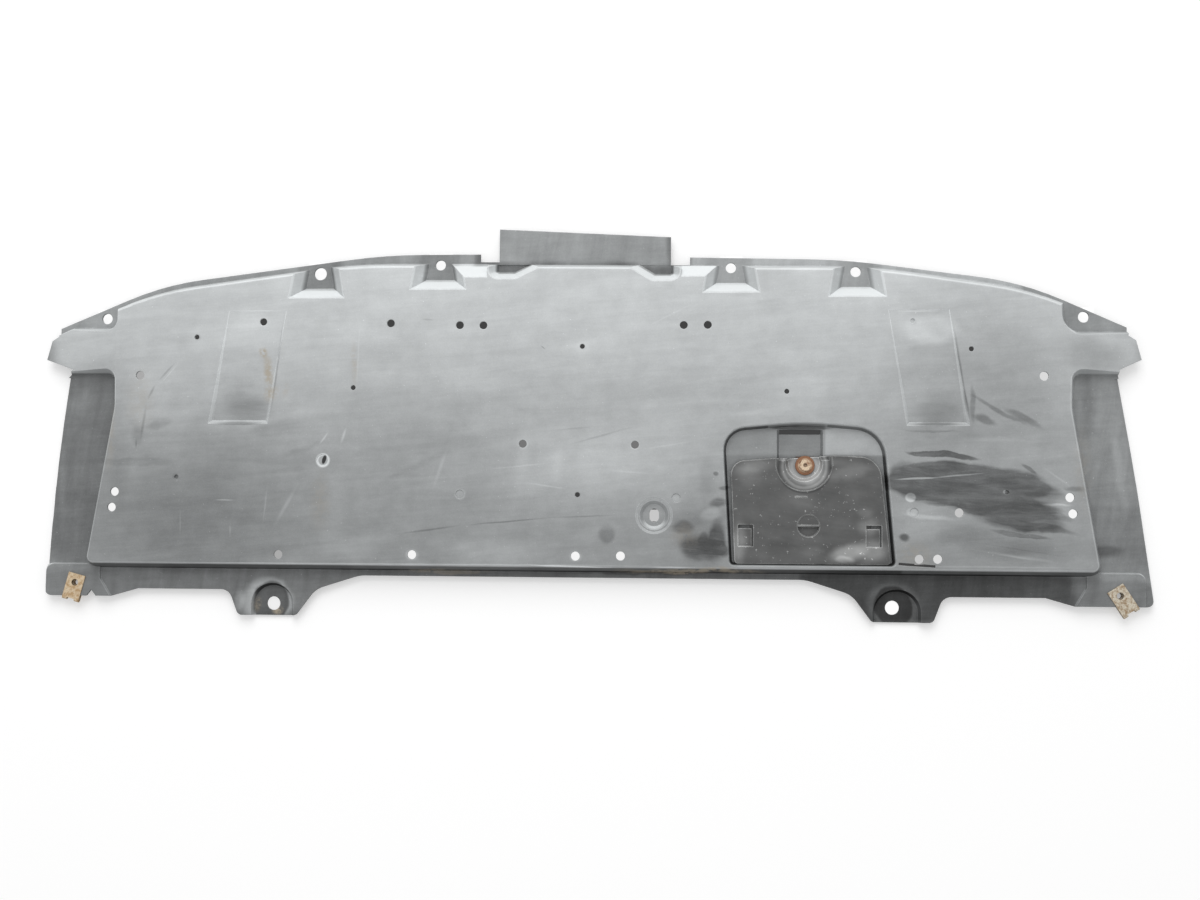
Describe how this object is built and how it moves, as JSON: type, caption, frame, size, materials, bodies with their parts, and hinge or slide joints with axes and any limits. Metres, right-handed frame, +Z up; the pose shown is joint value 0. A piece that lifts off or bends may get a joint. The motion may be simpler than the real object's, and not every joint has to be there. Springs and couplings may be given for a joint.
{
  "type": "engine splash shield",
  "caption": "Worn moulded plastic tray under an engine bay, with a screwed service door, bolt pockets and spring clip nuts.",
  "frame": {"origin": "on the ground under the middle of the shield's box", "axes": "+X to the right along the shield's length, +Y towards its curved front lip, +Z up out of its road face"},
  "size_m": [1.1279, 0.398, 0.024],
  "materials": {
    "tray_plastic": "scuffed and dusty black, worn grey",
    "door_plastic": "black with dust",
    "rusty_screw_steel": "rusty",
    "dark_spring_steel": "dark phosphate with rust",
    "rusty_spring_steel": "rusty tan",
    "zinc_spring_steel": "dull zinc with rust spots"
  },
  "bodies": {
    "root": {"tray": "tray_plastic", "service_door": "door_plastic", "door_screw": "rusty_screw_steel", "door_clip_nut": "dark_spring_steel", "corner_clip_left": "rusty_spring_steel", "corner_clip_right": "zinc_spring_steel"}
  },
  "joints": []
}
